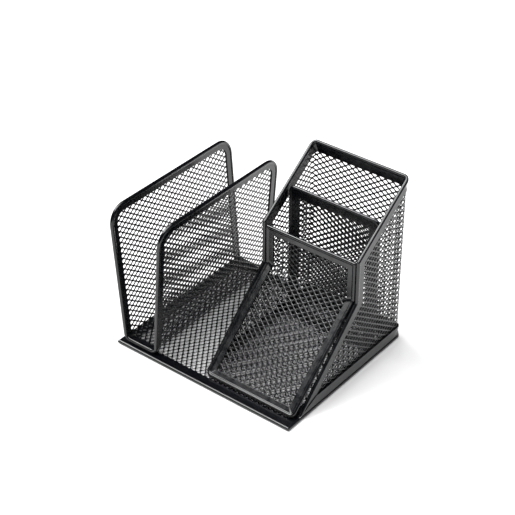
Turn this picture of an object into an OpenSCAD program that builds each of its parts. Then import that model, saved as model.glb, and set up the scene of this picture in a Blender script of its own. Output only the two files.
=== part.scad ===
// Desk organiser of black expanded-steel mesh: a letter tray on the left, and on the right a caddy with
// a sloping note ramp, a front compartment and a taller rear compartment, all standing on one mesh base.
// The ramp and the front of the front compartment are one bent panel.
// Every mesh panel has its cut edges closed in folded strips of sheet steel.
// The origin is the middle of the whole organiser's outline, at table level: +X is to the right, +Y to the
// back and +Z up.

/* [Base] */
// Width of the base, left to right
base_w = 153; // [146:1:180]
// Depth of the base, front to back
base_d = 132.8; // [124:0.2:150]
// Thickness of the base's folded strips
base_t = 2.8; // [1.8:0.1:3]
// Width of the base's folded strips
base_strip = 8.4; // [6:0.1:9]

/* [Sheet metal] */
// Thickness of the folded strips around the upright panels
strip_t = 2.8; // [1.8:0.1:2.9]
// Width of the strips around the front panel and the letter tray
frame_strip = 6.5; // [5:0.5:8]
// Width of the strips around the middle divider
divider_strip = 8.4; // [6:0.2:10]
// Width of the strips on the outside of the caddy wall
wall_strip = 7.6; // [6:0.1:8]
// Width of the same strips on the inside of the wall, which is at least as much
wall_inside = 8.8; // [8:0.1:9.4]
// Thickness of the expanded mesh, with the tilt of its strands
mesh_t = 1; // [0.8:0.1:1.2]
// How far the mesh edge stays inside the fold of a strip
fold = 1; // [0.8:0.1:1.5]
// Space between a mesh edge and the strip folded over it, and between the ends of two strips
slack = 0.05; // [0.02:0.01:0.1]

/* [Caddy] */
// Outer width of the caddy
caddy_w = 81.4; // [81.2:0.2:90]
// How far the caddy wall stands in from the base's edge
wall_inset = 0.4; // [0:0.1:1]
// Outer radius of the caddy wall's two rear corners
rear_r = 4.5; // [3.5:0.5:10]
// Distance from the base's front edge to the low front tip of the caddy's side walls
tip_y = 12.9; // [10:0.1:14]
// Distance from the base's front edge to the upright step in the side walls
step_y = 74.8; // [74.6:0.1:80]
// Height of the side walls at the foot of the step
step_low = 61.4; // [57:0.1:61.6]
// Height of the side walls at the top of the step
step_high = 94.3; // [86:0.1:98]
// Height of the caddy at its back
caddy_h = 134.4; // [122:0.1:140]

/* [Front panel and divider] */
// Width of the front panel and of the middle divider
divider_w = 75.6; // [68:0.2:75.8]
// Distance from the step to the upright part of the front panel
front_gap = 0.1; // [0.1:0.1:2]
// Height of the front panel's top edge
front_top = 92.5; // [84:0.1:94]
// Distance from the base's front edge to the lower edge of the ramp
ramp_y = 10.2; // [10:0.1:12]
// Angle of the ramp above level
ramp_angle = 41.1; // [40:0.1:42]
// Bend radius between the ramp and the upright part, to the middle of the sheet
ramp_bend = 3; // [2:0.5:6]
// Radius of the ramp's lower corners
ramp_r = 4; // [2:0.5:8]
// Distance from the base's front edge to the middle divider
middle_y = 100.7; // [92:0.1:106]
// Height of the middle divider's top edge
middle_top = 112.3; // [102:0.1:114]
// Corner radius of the middle divider
middle_r = 5; // [2:0.5:8]

/* [Letter tray] */
// Inside width of the tray at its floor
tray_w = 25; // [20:0.2:30]
// Distance from the base's left edge to the foot of the tray's left wall
tray_margin = 3; // [2:0.5:10]
// Outward lean of each tray wall from upright
tray_lean = 4.5; // [0:0.5:6]
// Bend radius between the tray's floor and its walls, to the middle of the sheet
tray_bend = 4; // [3:0.5:6]
// Height of the tray's top edges
tray_top = 109.5; // [96:0.1:120]
// Distance from the base's front edge to the tray's front edge
tray_front = 3.4; // [1:0.1:5]
// Distance from the tray's rear edge to the base's rear edge
tray_rear = 0.5; // [0:0.5:5]
// Radius of the tray's rounded top corners
tray_r = 14; // [9:0.5:16]

/* [Hidden] */
$fn = 64;
steel = [0.10, 0.10, 0.11];
mesh_steel = [0.16, 0.16, 0.17];
past = 10;                                  // how far a cutting shape runs past the part it cuts
// How far the top of each tray wall stands out past the middle of the sheet at its foot
tray_spread = (tray_top - base_t - strip_t / 2) * tan(tray_lean) + strip_t / 2 / cos(tray_lean);
tray_overhang = max(tray_spread - strip_t / 2 - tray_margin, 0);  // past the base's left edge
base_x = tray_overhang / 2;
front_y = -base_d / 2;
caddy_x = base_x + base_w / 2 - wall_inset - caddy_w / 2;
rear_y = base_d - wall_inset;                // from the base's front edge to the caddy's rear face
tray_x = base_x - base_w / 2 + tray_margin + strip_t + tray_w / 2;
mesh_z = base_t / 2 + mesh_t / 2;           // top of the base mesh, where the inner panels stand
square_r = 1.5;                             // radius of the corners that look square
bend_steps = 8;                             // flats in each bend of a sheet

// Caddy side wall as an anticlockwise outline in (distance from front, height). It runs past the back
// wall, so that only the front, top and bottom edges are edges of the panel.
wall_slope = (caddy_h - step_high) / (rear_y - step_y);
wall_end = rear_y + 2 * past;
wall_outline = [[tip_y, base_t], [wall_end, base_t], [wall_end, caddy_h + 2 * past * wall_slope],
                [step_y, step_high], [step_y, step_low]];

// Inward unit normal of the edge from a to b of an anticlockwise outline
function inward(a, b) = [a[1] - b[1], b[0] - a[0]] / norm(b - a);
// Where corner b goes when both of its edges move inwards by d
function inset_corner(a, b, c, d) = let (m = inward(a, b) + inward(b, c)) b + m * 2 * d / (m * m);
// A whole outline with all of its edges moved inwards by d
function inset(pts, d) = let (n = len(pts))
    [for (i = [0:n - 1]) inset_corner(pts[(i + n - 1) % n], pts[i], pts[(i + 1) % n], d)];

// Half of the tray's cross-section, from the start of the floor's bend to the top of the wall, at a
// distance h outside the middle of the sheet
function tray_half(h) = let (
    r = tray_bend + h,
    turn = 90 - tray_lean,
    c = [tray_w / 2 + strip_t / 2 - tray_bend * tan(turn / 2), base_t + strip_t / 2 + tray_bend],
    wall_foot = c + r * [cos(tray_lean), -sin(tray_lean)],
    rise = tray_top + past - wall_foot[1])
    concat([for (i = [0:bend_steps]) let (a = i * turn / bend_steps) c + r * [sin(a), -cos(a)]],
           [wall_foot + rise * [tan(tray_lean), 1]]);
function backwards(pts) = [for (i = [len(pts) - 1:-1:0]) pts[i]];
function mirrored(pts) = [for (p = pts) [-p[0], p[1]]];
// One whole face of the tray's sheet, from the top of its left wall to the top of its right wall
function tray_face(h) = concat(mirrored(backwards(tray_half(h))), tray_half(h));

// Rectangle from y = 0 to d with its two rear corners rounded
module rear_rounded(w, d, r) {
    translate([-w / 2, 0]) square([w, d - r]);
    translate([-w / 2 + r, 0]) square([w - 2 * r, d]);
    for (side = [-1, 1]) translate([side * (w / 2 - r), d - r]) circle(r);
}

// Rectangle standing on y = 0 with its lower corners rounded by low_r and its upper ones by high_r,
// all of its edges moved inwards by d
module panel_outline(w, h, low_r, high_r, d) {
    lr = max(low_r - d, 0.01);
    hr = max(high_r - d, 0.01);
    half = w / 2 - d;
    translate([-half + lr, d]) square([2 * (half - lr), h / 2 - d]);
    translate([-half, d + lr]) square([2 * half, h - 2 * d - lr - hr]);
    translate([-half + hr, h / 2]) square([2 * (half - hr), h / 2 - d]);
    for (side = [-1, 1]) {
        translate([side * (half - lr), d + lr]) circle(lr);
        translate([side * (half - hr), h - d - hr]) circle(hr);
    }
}

// Framed flat panel, lying on z = 0: the mesh that fills it
module panel_mesh(w, h, low_r, high_r, d = fold, t = mesh_t)
    translate([0, 0, (strip_t - t) / 2]) linear_extrude(t) panel_outline(w, h, low_r, high_r, d);

// Framed flat panel, lying on z = 0: the strip folded over the mesh all round
module panel_frame(w, h, low_r, high_r)
    difference() {
        linear_extrude(strip_t)
            difference() {
                panel_outline(w, h, low_r, high_r, 0);
                panel_outline(w, h, low_r, high_r, divider_strip);
            }
        panel_mesh(w, h, low_r, high_r, fold - slack, mesh_t + 2 * slack);
    }

// Moves an upright panel, drawn lying down, to its distance from the base's front edge
module stand(x, y, z, angle = 90) translate([x, front_y + y, z]) rotate([angle, 0, 0]) children();

// Prism across the whole organiser with a side outline in (distance from front, height)
module across() translate([-base_w, front_y, 0]) rotate([90, 0, 90]) linear_extrude(2 * base_w) children();

// Base: the outline with its edges moved inwards by d
module base_outline(d)
    translate([base_x, front_y + d])
        rear_rounded(base_w - 2 * d, base_d - 2 * d, max(rear_r + wall_inset - d, square_r));

module base_sheet(d, t) translate([0, 0, (base_t - t) / 2]) linear_extrude(t) base_outline(d);

module base_mesh() color(mesh_steel) base_sheet(fold, mesh_t);

module base_rim()
    difference() {
        linear_extrude(base_t)
            difference() {
                base_outline(0);
                base_outline(base_strip);
            }
        base_sheet(fold - slack, mesh_t + 2 * slack);
    }

// Wedge in front of the two mitred front corners, with its edges moved forwards by gap
module front_wedge(gap)
    translate([base_x, front_y - gap, -past])
        linear_extrude(2 * past + base_t)
            polygon([[-base_w / 2 - past, -past], [base_w / 2 + past, -past], [0, base_w / 2]]);

module base_rim_front()
    color(steel)
        intersection() {
            base_rim();
            front_wedge(slack);
        }

module base_rim_wrap()
    color(steel)
        difference() {
            base_rim();
            front_wedge(-slack);
        }

// Caddy wall: one sheet bent round the two rear corners, of thickness t, before its edges are cut
module wall_sheet(t)
    translate([caddy_x, front_y, 0])
        linear_extrude(caddy_h + past)
            let (d = (strip_t - t) / 2)
                difference() {
                    rear_rounded(caddy_w - 2 * d, rear_y - d, rear_r - d);
                    translate([0, -past])
                        rear_rounded(caddy_w - 2 * (d + t), rear_y + past - d - t, rear_r - d - t);
                }

module wall_infill(d, t)
    intersection() {
        wall_sheet(t);
        across() polygon(inset(wall_outline, d));
    }

module caddy_wall_mesh() color(mesh_steel) wall_infill(fold, mesh_t);

// Everything outside the middle of the wall's sheet
module wall_outer_side()
    translate([caddy_x, front_y, -past])
        linear_extrude(caddy_h + 3 * past)
            difference() {
                translate([-caddy_w, -past]) square([2 * caddy_w, rear_y + 3 * past]);
                translate([0, -2 * past])
                    rear_rounded(caddy_w - strip_t, rear_y + 2 * past - strip_t / 2, rear_r - strip_t / 2);
            }

// The strips folded over the wall's edges, narrower on the outside than on the inside
module wall_strips()
    difference() {
        intersection() {
            wall_sheet(strip_t);
            across()
                difference() {
                    polygon(wall_outline);
                    polygon(inset(wall_outline, wall_inside));
                }
        }
        intersection() {
            wall_outer_side();
            across() polygon(inset(wall_outline, wall_strip));
        }
        wall_infill(fold - slack, mesh_t + 2 * slack);
    }

// Everything below the mitre that splits the strips at the walls' front tips, moved up by gap
module below_mitre(gap)
    let (tip = wall_outline[0], inner = inset(wall_outline, wall_inside)[0], run = inner - tip)
        across()
            translate([0, gap])
                polygon([tip - run, tip + [wall_end, -past], [wall_end, inner[1]], inner]);

module caddy_bottom_band()
    color(steel)
        intersection() {
            wall_strips();
            below_mitre(-slack);
        }

module caddy_top_rim()
    color(steel)
        difference() {
            wall_strips();
            below_mitre(slack);
        }

// Front panel: one sheet that rises as the ramp and then bends upright between the side walls. It stands
// on the base mesh just behind the front strip.
ramp_along = [cos(ramp_angle), sin(ramp_angle)];
ramp_out = [-sin(ramp_angle), cos(ramp_angle)];
upright_y = step_y + front_gap + strip_t / 2;
ramp_foot = [ramp_y, mesh_z] + strip_t / 2 * ramp_out;
ramp_run = (upright_y - ramp_foot[0]) / ramp_along[0];    // up to where it would meet the upright part
bend_centre = ramp_foot + ramp_run * ramp_along + ramp_bend * [-1, tan((90 - ramp_angle) / 2)];

// One face of the sheet as seen from the side, h in front of its middle, from past the foot to past the top
function front_face(h) = let (r = ramp_bend - h)
    concat([bend_centre - r * ramp_out - (ramp_run + past) * ramp_along],
           [for (i = [0:bend_steps])
               let (a = ramp_angle + i * (90 - ramp_angle) / bend_steps) bend_centre + r * [sin(a), -cos(a)]],
           [[upright_y - h, front_top + past]]);

module front_sheet(t) across() polygon(concat(front_face(t / 2), backwards(front_face(-t / 2))));

// Everything inside the panel's outline with its edges moved inwards by d: first the rounded top corners as
// seen from the front, then the rounded lower corners as seen square to the ramp
module front_outline(d)
    intersection() {
        stand(caddy_x, rear_y, -past)
            linear_extrude(rear_y) panel_outline(divider_w, front_top + past, square_r, square_r, d);
        stand(caddy_x, ramp_y, mesh_z, ramp_angle)
            translate([0, 0, -base_d])
                linear_extrude(2 * base_d) panel_outline(divider_w, 2 * base_d, ramp_r, square_r, d);
    }

module front_infill(d, t)
    intersection() {
        front_sheet(t);
        front_outline(d);
    }

module front_panel_mesh() color(mesh_steel) front_infill(fold, mesh_t);

module front_panel_frame()
    color(steel)
        difference() {
            front_infill(0, strip_t);
            front_outline(frame_strip);
            front_infill(fold - slack, mesh_t + 2 * slack);
        }

// Middle divider: a flat panel that stands on the base mesh between the caddy's side walls
module middle_divider_place() stand(caddy_x, middle_y + strip_t, mesh_z) children();

module middle_divider_mesh()
    color(mesh_steel)
        middle_divider_place() panel_mesh(divider_w, middle_top - mesh_z, square_r, middle_r);

module middle_divider_frame()
    color(steel)
        middle_divider_place() panel_frame(divider_w, middle_top - mesh_z, square_r, middle_r);

// Letter tray: one sheet bent to a U with leaning walls, of thickness t, before its edges are cut
module tray_sheet(t)
    translate([tray_x, -front_y, 0])
        rotate([90, 0, 0])
            linear_extrude(base_d)
                polygon(concat(tray_face(t / 2), backwards(tray_face(-t / 2))));

// Side outline of the tray with its front, top and rear edges moved inwards by d
module tray_outline(d)
    let (length = base_d - tray_front - tray_rear)
        translate([tray_front + length / 2, -past])
            panel_outline(length, tray_top + past, square_r, tray_r, d);

module tray_infill(d, t)
    intersection() {
        tray_sheet(t);
        across() tray_outline(d);
    }

module letter_tray_mesh() color(mesh_steel) tray_infill(fold, mesh_t);

module letter_tray_rim()
    color(steel)
        difference() {
            intersection() {
                tray_sheet(strip_t);
                across()
                    difference() {
                        tray_outline(0);
                        tray_outline(frame_strip);
                    }
            }
            tray_infill(fold - slack, mesh_t + 2 * slack);
        }

base_mesh();
base_rim_front();
base_rim_wrap();
caddy_wall_mesh();
caddy_bottom_band();
caddy_top_rim();
front_panel_mesh();
front_panel_frame();
middle_divider_mesh();
middle_divider_frame();
letter_tray_mesh();
letter_tray_rim();
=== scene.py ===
"""Looks of the mesh desk organiser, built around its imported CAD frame. Lengths are in metres.

Each panel is a sheet of expanded steel mesh with its cut edges inside a folded strip. A sheet is a function that
turns flat coordinates (u, v) and a height h off the middle of the metal into a point. Flat and bent panels then
share the same two builders: lattice() for the mesh and fold() for the strips.
"""
import math

import bpy
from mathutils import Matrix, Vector


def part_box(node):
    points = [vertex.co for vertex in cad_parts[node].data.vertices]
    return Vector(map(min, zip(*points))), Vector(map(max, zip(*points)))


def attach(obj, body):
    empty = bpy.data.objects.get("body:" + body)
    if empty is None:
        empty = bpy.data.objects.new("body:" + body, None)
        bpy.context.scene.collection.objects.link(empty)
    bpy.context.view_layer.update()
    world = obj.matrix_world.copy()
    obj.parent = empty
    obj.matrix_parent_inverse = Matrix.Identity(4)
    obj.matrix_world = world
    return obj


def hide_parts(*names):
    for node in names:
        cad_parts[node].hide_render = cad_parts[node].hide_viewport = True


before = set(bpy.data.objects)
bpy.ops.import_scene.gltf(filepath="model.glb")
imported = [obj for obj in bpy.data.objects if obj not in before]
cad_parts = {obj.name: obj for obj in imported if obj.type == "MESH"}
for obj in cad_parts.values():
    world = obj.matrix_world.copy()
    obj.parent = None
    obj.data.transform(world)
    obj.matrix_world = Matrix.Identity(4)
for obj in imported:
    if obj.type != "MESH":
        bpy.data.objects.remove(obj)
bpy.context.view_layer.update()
MM = 0.001
X, Y, Z = Vector((1, 0, 0)), Vector((0, 1, 0)), Vector((0, 0, 1))

# Expanded mesh
LONG = 6.1 * MM              # long way of a diamond
SHORT = 4.3 * MM             # short way of a diamond
HOLE_LONG = 3.85 * MM        # opening, along the long way
HOLE_SHORT = 2.75 * MM       # opening, along the short way
HOLE_POWER = 1.25            # shape of the opening: 1 is a diamond and 2 an ellipse
BASE_OPENING = 1.12          # how much larger the openings of the base mesh are
STRAND_T = 0.50 * MM         # metal thickness in the middle of a strand
STRAND_EDGE_T = 0.36 * MM    # and at the rounded sides of an opening
STRAND_LEAN = 0.06 * MM      # how far the upper side of a strand stands out from the sheet
MESH_INSET = 1.0 * MM        # how far inside a strip's outer edge the mesh ends

# Folded strips
STRIP_T = 2.8 * MM           # of every strip, with the rolled edge
FRAME_STRIP = 6.5 * MM
DIVIDER_STRIP = 8.4 * MM
WALL_STRIP = 7.6 * MM        # on the outside of the caddy wall
WALL_INSIDE = 8.8 * MM       # and on its inside
BASE_STRIP = 8.4 * MM
SHEET_T = 0.34 * MM          # metal of the folded strips
BEAD_PROUD = 0.55 * MM       # how far the rolled outer edge stands above the strip's flat
BEAD_START = 0.12            # radians of the roll that the hollow at its foot takes up
HOLLOW = ((0.35 * MM, 0), (0.08 * MM, 0.05 * MM))    # from the foot of the roll: points inwards and up
LIP_R = 0.30 * MM            # rounding of a strip's inner edge
PRESSED_R = 0.45 * MM        # rounding of an outer edge that is pressed flat
MITRE_GAP = 0.10 * MM        # half of the open line where two strips meet at a mitre

# Fineness of the strips' meshes
BEAD_STEPS = 12              # across a rolled edge
PRESSED_STEPS = 4            # across the rounding of a pressed edge
REAR_STEPS = 12              # of the top edge round a rear corner of the caddy
CORNER_STEP = math.radians(11)
SHARPEST = 0.02 * MM         # radius left at a corner that is inset past its rounding
FLAT_PITCH = 4 * MM          # longest step along a strip on a flat panel
WALL_PITCH = 1 * MM          # on the caddy wall
BENT_PITCH = 0.7 * MM        # on the panels with tight bends
SHARP_EDGE = math.radians(50)

# Places that the nodes' boxes don't give
REAR_R = 4.5 * MM            # outer radius of the caddy's rear corners
BASE_R = 4.9 * MM            # and of the base's
STEP_LOW = 61.4 * MM         # height of the caddy's side walls at the foot of the step
STEP_HIGH = 94.3 * MM        # and at its top
STEP_R = 1.2 * MM            # rounding of the step's corners
FRONT_GAP = 0.1 * MM         # from the step to the upright part of the front panel
RAMP_ANGLE = math.radians(41.1)
RAMP_BEND = 3 * MM           # between the ramp and the upright part of the front panel
RAMP_R = 4 * MM
SQUARE_R = 1.5 * MM          # corners that look square
MIDDLE_R = 5 * MM            # upper corners of the middle divider
TRAY_R = 14 * MM             # rounded top corners of the letter tray
TRAY_LEAN = math.radians(4.5)
TRAY_BEND = 4 * MM           # bend radius of the tray's sheet
TRAY_FOOT = 27.8 * MM        # between the places where the lines of the tray's walls meet its floor
TRAY_HEADROOM = 0.1 * MM     # kept free below the top of the tray's box

COLOUR_A, COLOUR_B, COLOUR_OUT = 6, 7, 2     # sockets of a mix node that mixes colours


# ---------------------------------------------------------------- sheets

def flat_sheet(origin, right, up):
    """A flat panel: u runs along right, v along up and h towards right x up."""
    out = right.cross(up)
    return lambda u, v, h: origin + right * u + up * v + out * h


def bent_sheet(origin, across, flank, along, middle, radius, turn):
    """A panel bent to a U: u is 0 in the middle of its back, which is `middle` wide, and runs round both bends
    to the two flanks, which turn towards `flank`. v runs along the bends and h towards the outside of the U."""
    half = middle / 2
    arc = radius * turn

    def point(u, v, h):
        side = 1 if u >= 0 else -1
        s = abs(u)
        angle = min(max((s - half) / radius, 0), turn)
        run = max(s - half - arc, 0)
        a = min(s, half) + radius * math.sin(angle) + run * math.cos(turn)
        b = radius * (1 - math.cos(angle)) + run * math.sin(turn)
        return (origin + across * side * (a + h * math.sin(angle)) + flank * (b - h * math.cos(angle))
                + along * v)
    return point


def kinked_sheet(foot, right, low, high, reach, radius):
    """A panel bent once. v runs along `low` for `reach`, round a bend that opens towards h, then along `high`."""
    turn = low.angle(high)
    out_low, out_high = right.cross(low), right.cross(high)
    centre = foot + low * reach + out_low * radius

    def point(u, v, h):
        if v < reach:
            return foot + right * u + low * v + out_low * h
        angle = min((v - reach) / radius, turn)
        out = out_low * math.cos(angle) - low * math.sin(angle)
        return centre + right * u - out * (radius - h) + high * max(v - reach - radius * turn, 0)
    return point


# ---------------------------------------------------------------- outlines

def unit(a, b):
    """Direction from point a to point b, and the distance."""
    size = math.hypot(b[0] - a[0], b[1] - a[1])
    return (b[0] - a[0]) / size, (b[1] - a[1]) / size, size


def rectangle(u0, v0, u1, v1, low_r, high_r):
    """Corners (u, v, radius) of an anticlockwise rectangle."""
    return [(u0, v0, low_r), (u1, v0, low_r), (u1, v1, high_r), (u0, v1, high_r)]


def corner(corners, i, inset):
    """Corner i with all edges moved inwards: its point, the directions in and out, the turn and the radius."""
    n = len(corners)
    before, here, after = corners[i - 1], corners[i % n], corners[(i + 1) % n]
    ax, ay, _ = unit(before, here)
    bx, by, _ = unit(here, after)
    turn = math.atan2(ax * by - ay * bx, ax * bx + ay * by)
    mx, my = -ay - by, ax + bx
    k = 2 * inset / (mx * mx + my * my)
    radius = here[2] and max(here[2] - math.copysign(inset, turn), SHARPEST)
    return (here[0] + mx * k, here[1] + my * k), (ax, ay), (bx, by), turn, radius


def rounding(corners, i, inset):
    """The points of corner i, rounded by its radius. The number of points doesn't depend on the inset."""
    (x, y), (ax, ay), _, turn, radius = corner(corners, i, inset)
    if not corners[i % len(corners)][2]:
        return [(x, y)]
    steps = max(2, math.ceil(abs(turn) / CORNER_STEP))
    back = radius * math.tan(abs(turn) / 2)
    side = math.copysign(1, turn)
    x, y = x - ax * back, y - ay * back
    points = []
    for k in range(steps + 1):
        a = abs(turn) * k / steps
        along, inward = radius * math.sin(a), side * radius * (1 - math.cos(a))
        points.append((x + ax * along - ay * inward, y + ay * along + ax * inward))
    return points


def route(corners, first, last, pitch, inset, gap=0.0):
    """Points along the inset outline from corner first to corner last, with no step much over pitch on the
    outer edge. With first = last the route goes once round and is closed. An open route is cut back by gap."""
    n = len(corners)
    closed = first == last
    stops = range(first, (last if last > first else last + n) + (0 if closed else 1))

    def groups(d):
        made = [rounding(corners, i, d) for i in stops]
        if not closed:
            made[0], made[-1] = [corner(corners, first, d)[0]], [corner(corners, last, d)[0]]
        return made + made[:1] if closed else made
    inner, outer = groups(inset), groups(0.0)
    points = []
    for k in range(len(inner) - 1):
        points += inner[k]
        size = unit(outer[k][-1], outer[k + 1][0])[2]
        steps = max(1, math.ceil(size / pitch))
        (ax, ay), (bx, by) = inner[k][-1], inner[k + 1][0]
        points += [(ax + (bx - ax) * j / steps, ay + (by - ay) * j / steps) for j in range(1, steps)]
    if closed:
        return points
    points += inner[-1]
    for end, nearby in ((0, 1), (-1, -2)):
        x, y, _ = unit(points[end], points[nearby])
        points[end] = (points[end][0] + x * gap, points[end][1] + y * gap)
    return points


def inside(corners, u, v, margin):
    """Whether a point is inside the outline by at least margin, with its corners taken as square."""
    within = False
    n = len(corners)
    for i in range(n):
        (x0, y0, _), (x1, y1, _) = corners[i - 1], corners[i]
        if (y0 > v) != (y1 > v) and u < x0 + (v - y0) * (x1 - x0) / (y1 - y0):
            within = not within
        dx, dy, size = unit((x0, y0), (x1, y1))
        t = min(max((u - x0) * dx + (v - y0) * dy, 0), size)
        if math.hypot(u - x0 - dx * t, v - y0 - dy * t) < margin:
            return False
    return within


def clear_of_roundings(corners, u, v, margin):
    """Whether a point is also inside the rounded corners of an outline."""
    for i, (_, _, radius) in enumerate(corners):
        if radius <= margin:
            continue
        (x, y), (ax, ay), (bx, by), turn, _ = corner(corners, i, radius)
        if (u - x) * ax + (v - y) * ay > 0 > (u - x) * bx + (v - y) * by and turn > 0:
            if math.hypot(u - x, v - y) > radius - margin:
                return False
    return True


# ---------------------------------------------------------------- builders

def add_object(name, data):
    """A new object in the scene."""
    made = bpy.data.objects.new(name, data)
    bpy.context.scene.collection.objects.link(made)
    return made


def add_piece(name, points, faces, material, nodes, sharp):
    """Makes the piece, shades it smooth apart from edges over the sharp angle, and puts it in the frame."""
    mesh = bpy.data.meshes.new(name)
    mesh.from_pydata(points, [], faces)
    mesh.materials.append(material)
    mesh.shade_smooth()
    if sharp:
        mesh.set_sharp_from_angle(angle=sharp)
    mesh.validate()
    piece = add_object(name, mesh)
    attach(piece, "root")
    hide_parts(*nodes)
    return piece


# Points round one diamond, in thirds of its edges, and round its opening
RING = [(3 - k, k) for k in range(3)] + [(-k, 3 - k) for k in range(3)]
RING += [(-x, -y) for x, y in RING]


def hole_point(k):
    """Point k of an opening that reaches from -1 to 1 both ways."""
    a = 2 * math.pi * k / len(RING)
    x, y = math.cos(a), math.sin(a)
    power = 2 / HOLE_POWER
    return math.copysign(abs(x) ** power, x), math.copysign(abs(y) ** power, y)


HOLE = [hole_point(k) for k in range(len(RING))]


def lattice(name, node, sheet, corners, upright=False, lean=1, opening=1):
    """Expanded mesh over one sheet: every diamond whose four bonds are inside the outline. The long way of the
    diamonds runs along u, or along v if upright. Each strand leans: its upper side stands out from the sheet if
    lean is 1, and in if it is -1. The openings are scaled by opening."""
    points, faces = [], []
    bonds, sides = {}, {}

    def place(a, b, h):
        u, v = (b, -a) if upright else (a, b)
        points.append(sheet(u, v, h))
        return len(points) - 1

    def wanted(a, b):
        u, v = (b, -a) if upright else (a, b)
        return inside(corners, u, v, MESH_INSET) and clear_of_roundings(corners, u, v, MESH_INSET)

    def bond(i, j):
        if (i, j) not in bonds:
            a, b = i * LONG / 6, j * SHORT / 6
            bonds[i, j] = (place(a, b, STRAND_T / 2), place(a, b, -STRAND_T / 2))
        return bonds[i, j]
    us, vs = [c[0] for c in corners], [c[1] for c in corners]
    low = (-max(vs), min(us)) if upright else (min(us), min(vs))
    high = (-min(vs), max(us)) if upright else (max(us), max(vs))
    n = len(RING)
    for i in range(math.floor(2 * low[0] / LONG), math.ceil(2 * high[0] / LONG) + 1):
        for j in range(math.floor(2 * low[1] / SHORT), math.ceil(2 * high[1] / SHORT) + 1):
            a, b = i * LONG / 2, j * SHORT / 2
            tips = ((a + LONG / 2, b), (a - LONG / 2, b), (a, b + SHORT / 2), (a, b - SHORT / 2))
            if (i + j) % 2 or not all(wanted(*tip) for tip in tips):
                continue
            ring = [(3 * i + x, 3 * j + y) for x, y in RING]
            outer = [bond(*key) for key in ring]
            hole = []
            for x, y in HOLE:
                h = -lean * STRAND_LEAN * y
                at = (a + x * opening * HOLE_LONG / 2, b + y * opening * HOLE_SHORT / 2)
                hole.append((place(*at, h + STRAND_EDGE_T / 2), place(*at, h - STRAND_EDGE_T / 2)))
            for k in range(n):
                m = (k + 1) % n
                faces.append((outer[k][0], outer[m][0], hole[m][0], hole[k][0]))
                faces.append((outer[m][1], outer[k][1], hole[k][1], hole[m][1]))
                faces.append((hole[k][0], hole[m][0], hole[m][1], hole[k][1]))
                sides[ring[k], ring[m]] = outer[k], outer[m]
    for (p, q), (start, end) in sides.items():
        if (q, p) not in sides:
            faces.append((end[0], start[0], start[1], end[1]))
    add_piece(name, points, faces, MESH_COAT, [node], 0)


def channel(width, back_width, half, rolled=True):
    """Cross-section of a strip folded over the mesh, as (inset, height), from the inner edge of its front round
    the outer edge to the back and in again along the inside of the fold. The strip is two halves thick, and its
    outer edge is rolled round a wire or pressed flat."""
    flat = half - BEAD_PROUD if rolled else half
    skin = flat - SHEET_T
    foot = math.asin(flat / half)                  # where the roll runs into the flat
    reach = half * (1 + math.cos(foot))

    def face(width):
        lip = [(width, skin)]
        lip += [(width - LIP_R * (1 - math.cos(a)), flat - LIP_R * (1 - math.sin(a)))
                for a in (0, math.pi / 6, math.pi / 3, math.pi / 2)]
        return lip + ([(reach + d, flat + h) for d, h in HOLLOW] if rolled else [])
    if rolled:
        start = foot + BEAD_START
        turns = [start + (math.pi - foot - BEAD_START) * k / BEAD_STEPS for k in range(BEAD_STEPS + 1)]
        edge = [(half * (1 + math.cos(a)), half * math.sin(a)) for a in turns]
    else:
        turns = [math.pi / 2 * k / PRESSED_STEPS for k in range(PRESSED_STEPS + 1)]
        edge = [(PRESSED_R * (1 - math.sin(a)), half - PRESSED_R * (1 - math.cos(a))) for a in turns]
        edge.append((0, 0))
    back = face(back_width) + edge[:-1]
    return face(width) + edge + [(d, -h) for d, h in reversed(back)] + [(half, -skin), (half, skin)]


def fold(name, nodes, sheet, corners, width, half, first=0, last=0, pitch=FLAT_PITCH, rolled=True, back=None):
    """A strip folded over the edge of a sheet, from corner first of its outline to corner last, or all the way
    round if these are the same. It is as wide on its back as on its front, unless back gives another width."""
    section = channel(width, back or width, half, rolled)
    closed = first == last
    lines = [route(corners, first, last, pitch, d, MITRE_GAP) for d, _ in section]
    count, n = len(lines[0]), len(section)
    points = [sheet(*lines[k][i], section[k][1]) for i in range(count) for k in range(n)]
    faces = []
    for i in range(count if closed else count - 1):
        a, b = i * n, (i + 1) % count * n
        for k in range(n):
            m = (k + 1) % n
            faces.append((a + k, a + m, b + m, b + k))
    if not closed:
        faces.append(tuple(reversed(range(n))))
        faces.append(tuple(range((count - 1) * n, count * n)))
    piece = add_piece(name, points, faces, STRIP_COAT, nodes, SHARP_EDGE)
    even = piece.modifiers.new("even_shading", "WEIGHTED_NORMAL")
    even.keep_sharp = True


# ---------------------------------------------------------------- materials

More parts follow.
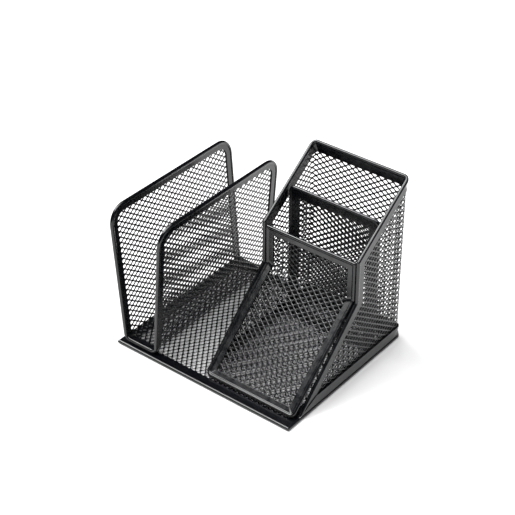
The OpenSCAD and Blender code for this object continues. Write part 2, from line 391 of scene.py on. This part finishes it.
def coat_material(name, colour, roughness, grain):
    """Black powder coat: orange-peel skin, uneven gloss, and rounded edges made faintly lighter in patches. This
    is partly edge wear and partly a painted highlight along the rolled edges.
    """
    material = bpy.data.materials.new(name)
    material.use_nodes = True
    nodes, links = material.node_tree.nodes, material.node_tree.links
    nodes.clear()
    out = nodes.new("ShaderNodeOutputMaterial")
    paint = nodes.new("ShaderNodeBsdfPrincipled")
    links.new(paint.outputs["BSDF"], out.inputs["Surface"])
    place = nodes.new("ShaderNodeTexCoord").outputs["Object"]

    def noise(scale, detail):
        node = nodes.new("ShaderNodeTexNoise")
        node.inputs["Scale"].default_value = scale
        node.inputs["Detail"].default_value = detail
        links.new(place, node.inputs["Vector"])
        return node.outputs["Fac"]

    def ramp(value, low, high, dark, light):
        node = nodes.new("ShaderNodeMapRange")
        links.new(value, node.inputs["Value"])
        for socket, number in zip(("From Min", "From Max", "To Min", "To Max"), (low, high, dark, light)):
            node.inputs[socket].default_value = number
        return node.outputs["Result"]

    def mix(factor, a, b):
        node = nodes.new("ShaderNodeMix")
        node.data_type = "RGBA"
        links.new(factor, node.inputs["Factor"])
        for socket, value in ((node.inputs[COLOUR_A], a), (node.inputs[COLOUR_B], b)):
            if isinstance(value, tuple):
                socket.default_value = value
            else:
                links.new(value, socket)
        return node.outputs[COLOUR_OUT]
    tone = ramp(noise(scale=90, detail=3), low=0.35, high=0.65, dark=0, light=1)
    paler = tuple(1.5 * c for c in colour)
    body = mix(tone, (*colour, 1), (*paler, 1))
    # Rounded edges painted lighter in patches: partly edge wear, partly a painted highlight standing in for the
    # light lines that the rolled edges reflect
    edge = nodes.new("ShaderNodeNewGeometry").outputs["Pointiness"]
    patchy = noise(scale=700, detail=2)
    edge_wear_and_highlight = nodes.new("ShaderNodeMath")
    edge_wear_and_highlight.operation = "MULTIPLY"
    links.new(ramp(edge, low=0.53, high=0.62, dark=0, light=0.5), edge_wear_and_highlight.inputs[0])
    links.new(ramp(patchy, low=0.42, high=0.60, dark=0, light=1), edge_wear_and_highlight.inputs[1])
    # lighter colour of the painted edge highlight and the edge wear
    wear_and_highlight_colour = (0.012, 0.013, 0.015, 1)
    links.new(mix(edge_wear_and_highlight.outputs[0], body, wear_and_highlight_colour), paint.inputs["Base Color"])
    gloss = noise(scale=260, detail=4)
    links.new(ramp(gloss, low=0.3, high=0.7, dark=roughness - 0.05, light=roughness + 0.07),
              paint.inputs["Roughness"])
    paint.inputs["IOR"].default_value = 1.55
    skin = nodes.new("ShaderNodeBump")
    skin.inputs["Strength"].default_value = grain
    skin.inputs["Distance"].default_value = 0.05 * MM
    links.new(noise(scale=1500, detail=2), skin.inputs["Height"])
    links.new(skin.outputs["Normal"], paint.inputs["Normal"])
    return material


def floor_material():
    """White table top with a barely uneven tone."""
    material = bpy.data.materials.new("white_table")
    material.use_nodes = True
    nodes, links = material.node_tree.nodes, material.node_tree.links
    paint = nodes["Principled BSDF"]
    cloud = nodes.new("ShaderNodeTexNoise")
    cloud.inputs["Scale"].default_value = 3
    tone = nodes.new("ShaderNodeMapRange")
    tone.inputs["To Min"].default_value = 0.84
    tone.inputs["To Max"].default_value = 0.88
    links.new(cloud.outputs["Fac"], tone.inputs["Value"])
    links.new(tone.outputs["Result"], paint.inputs["Base Color"])
    paint.inputs["Roughness"].default_value = 0.7
    paint.inputs["Specular IOR Level"].default_value = 0.2
    return material


MESH_COAT = coat_material("mesh_powder_coat", (0.0012, 0.0016, 0.0023), roughness=0.22, grain=0.10)
STRIP_COAT = coat_material("strip_powder_coat", (0.0010, 0.0014, 0.0022), roughness=0.20, grain=0.10)


# ---------------------------------------------------------------- the organiser

def build_base():
    low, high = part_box("base_rim_wrap")
    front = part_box("base_rim_front")[0].y
    half = (high.z - low.z) / 2
    sheet = flat_sheet(Vector((0, 0, low.z + half)), X, Y)
    corners = [(low.x, front, 0), (high.x, front, 0), (high.x, high.y, BASE_R), (low.x, high.y, BASE_R)]
    lattice("expanded_mesh_base", "base_mesh", sheet, corners, upright=True, opening=BASE_OPENING)
    fold("base_front_strip", ["base_rim_front"], sheet, corners, BASE_STRIP, half, first=0, last=1)
    fold("base_side_and_rear_strip", ["base_rim_wrap"], sheet, corners, BASE_STRIP, half, first=1, last=4)


def build_caddy_wall():
    """The sheet's outline starts at the front tip of the left wall, and its last corner is that of the right."""
    low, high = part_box("caddy_bottom_band")
    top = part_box("caddy_top_rim")[1].z
    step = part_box("front_panel_frame")[1].y - STRIP_T - FRONT_GAP
    half = STRIP_T / 2
    radius = REAR_R - half
    rear = high.y - half
    back = high.x - low.x - 2 * REAR_R
    arc = radius * math.pi / 2
    sheet = bent_sheet(Vector(((low.x + high.x) / 2, rear, 0)), -X, -Y, Z, back, radius, math.pi / 2)
    flank = back / 2 + arc - radius        # u on a side wall is this plus the distance from the rear wall

    def rise(y):
        return STEP_HIGH + (top - STEP_HIGH) * (y - step) / (rear - step)
    left = [(flank + rear - low.y, low.z, 0)]
    upper = [(flank + rear - step, STEP_LOW, STEP_R), (flank + rear - step, STEP_HIGH, STEP_R)]
    for k in range(REAR_STEPS, -1, -1):
        a = math.pi / 2 * k / REAR_STEPS
        upper.append((back / 2 + radius * a, rise(rear - radius * (1 - math.cos(a))), 0))
    right = [(-u, v, r) for u, v, r in reversed(left + upper)]
    corners = left + upper + right
    tips = len(corners) - 1
    lattice("expanded_mesh_caddy_wall", "caddy_wall_mesh", sheet, corners, lean=-1)
    fold("caddy_top_hem", ["caddy_top_rim"], sheet, corners, WALL_STRIP, half, first=0, last=tips,
         pitch=WALL_PITCH, back=WALL_INSIDE)
    fold("caddy_foot_band", ["caddy_bottom_band"], sheet, corners, WALL_STRIP, half, first=tips, last=tips + 1,
         pitch=WALL_PITCH, rolled=False, back=WALL_INSIDE)


def build_front_panel():
    low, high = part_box("front_panel_frame")
    half = STRIP_T / 2
    up = Vector((0, math.cos(RAMP_ANGLE), math.sin(RAMP_ANGLE)))
    out = X.cross(up)
    foot = Vector(((low.x + high.x) / 2, low.y - 2 * half * out.y, low.z)) + out * half
    turn = math.pi / 2 - RAMP_ANGLE
    setback = RAMP_BEND * math.tan(turn / 2)
    run = (high.y - half - foot.y) / up.y
    reach = run - setback
    sheet = kinked_sheet(foot, X, up, Z, reach, RAMP_BEND)
    rise = high.z - (foot.z + up.z * run + setback)
    wide = (high.x - low.x) / 2
    corners = rectangle(-wide, 0, wide, reach + RAMP_BEND * turn + rise, RAMP_R, SQUARE_R)
    lattice("expanded_mesh_front_panel", "front_panel_mesh", sheet, corners)
    fold("front_panel_hem", ["front_panel_frame"], sheet, corners, FRAME_STRIP, half, pitch=BENT_PITCH)


def build_middle_divider():
    low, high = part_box("middle_divider_frame")
    half = (high.y - low.y) / 2
    sheet = flat_sheet(Vector(((low.x + high.x) / 2, low.y + half, 0)), X, Z)
    wide = (high.x - low.x) / 2
    corners = rectangle(-wide, low.z, wide, high.z, SQUARE_R, MIDDLE_R)
    lattice("expanded_mesh_middle_divider", "middle_divider_mesh", sheet, corners)
    fold("middle_divider_hem", ["middle_divider_frame"], sheet, corners, DIVIDER_STRIP, half)


def build_letter_tray():
    low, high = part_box("letter_tray_rim")
    half = STRIP_T / 2
    turn = math.pi / 2 - TRAY_LEAN
    middle = TRAY_FOOT - 2 * TRAY_BEND * math.tan(turn / 2)
    floor = low.z + half
    sheet = bent_sheet(Vector(((low.x + high.x) / 2, 0, floor)), X, Z, -Y, middle, TRAY_BEND, turn)
    wall_foot = floor + TRAY_BEND * (1 - math.cos(turn))
    reach = middle / 2 + TRAY_BEND * turn + (high.z - TRAY_HEADROOM - wall_foot) / math.sin(turn)
    corners = rectangle(-reach, -high.y, reach, -low.y, TRAY_R, TRAY_R)
    lattice("expanded_mesh_letter_tray", "letter_tray_mesh", sheet, corners, upright=True)
    fold("letter_tray_hem", ["letter_tray_rim"], sheet, corners, FRAME_STRIP, half, pitch=BENT_PITCH)


# ---------------------------------------------------------------- studio

def direction(azimuth, elevation):
    """From the organiser towards a place round it: azimuth 0 is in front and 90 at the right, in degrees."""
    a, e = math.radians(azimuth), math.radians(elevation)
    return Vector((math.sin(a) * math.cos(e), -math.cos(a) * math.cos(e), math.sin(e)))


def add_sun(name, azimuth, elevation, strength, spread):
    """A lamp as large as a softbox that is seen from the organiser under the angle spread, in degrees."""
    lamp = bpy.data.lights.new(name, "SUN")
    lamp.energy = strength
    lamp.angle = math.radians(spread)
    sun = add_object(name, lamp)
    sun.rotation_euler = direction(azimuth, elevation).to_track_quat("Z", "Y").to_euler()


def build_studio():
    size = 6.0                             # half of the table top's side
    mesh = bpy.data.meshes.new("table_top")
    mesh.from_pydata([(-size, -size, 0), (size, -size, 0), (size, size, 0), (-size, size, 0)], [], [(0, 1, 2, 3)])
    mesh.materials.append(floor_material())
    add_object("table_top", mesh)
    add_sun("left_softbox", azimuth=-88, elevation=46, strength=2.2, spread=36)
    add_sun("front_softbox", azimuth=-66, elevation=55, strength=1.6, spread=28)
    add_sun("overhead_softbox", azimuth=10, elevation=88, strength=3.7, spread=60)
    world = bpy.data.worlds.new("studio")
    world.use_nodes = True
    nodes, links = world.node_tree.nodes, world.node_tree.links
    paper = nodes.new("ShaderNodeMix")
    paper.data_type = "RGBA"
    paper.inputs[COLOUR_A].default_value = (0.03, 0.03, 0.034, 1)     # the dark room, as the metal reflects it
    paper.inputs[COLOUR_B].default_value = (0.95, 0.95, 0.95, 1)      # the pale backdrop, as the camera sees it
    links.new(nodes.new("ShaderNodeLightPath").outputs["Is Camera Ray"], paper.inputs["Factor"])
    links.new(paper.outputs[COLOUR_OUT], nodes["Background"].inputs["Color"])
    bpy.context.scene.world = world
    bpy.context.scene.view_settings.view_transform = "Standard"


def build_camera():
    aim = Vector((-51.5, 65.2, 12.1)) * MM
    distance = 1.134
    back = direction(azimuth=38.5, elevation=34.8)
    lens = bpy.data.cameras.new("camera")
    lens.lens = 105
    lens.sensor_width = 36
    lens.clip_start = 0.05
    camera = add_object("camera", lens)
    camera.location = aim + back * distance
    camera.rotation_euler = (-back).to_track_quat("-Z", "Y").to_euler()
    bpy.context.scene.camera = camera


build_base()
build_caddy_wall()
build_front_panel()
build_middle_divider()
build_letter_tray()
build_studio()
build_camera()
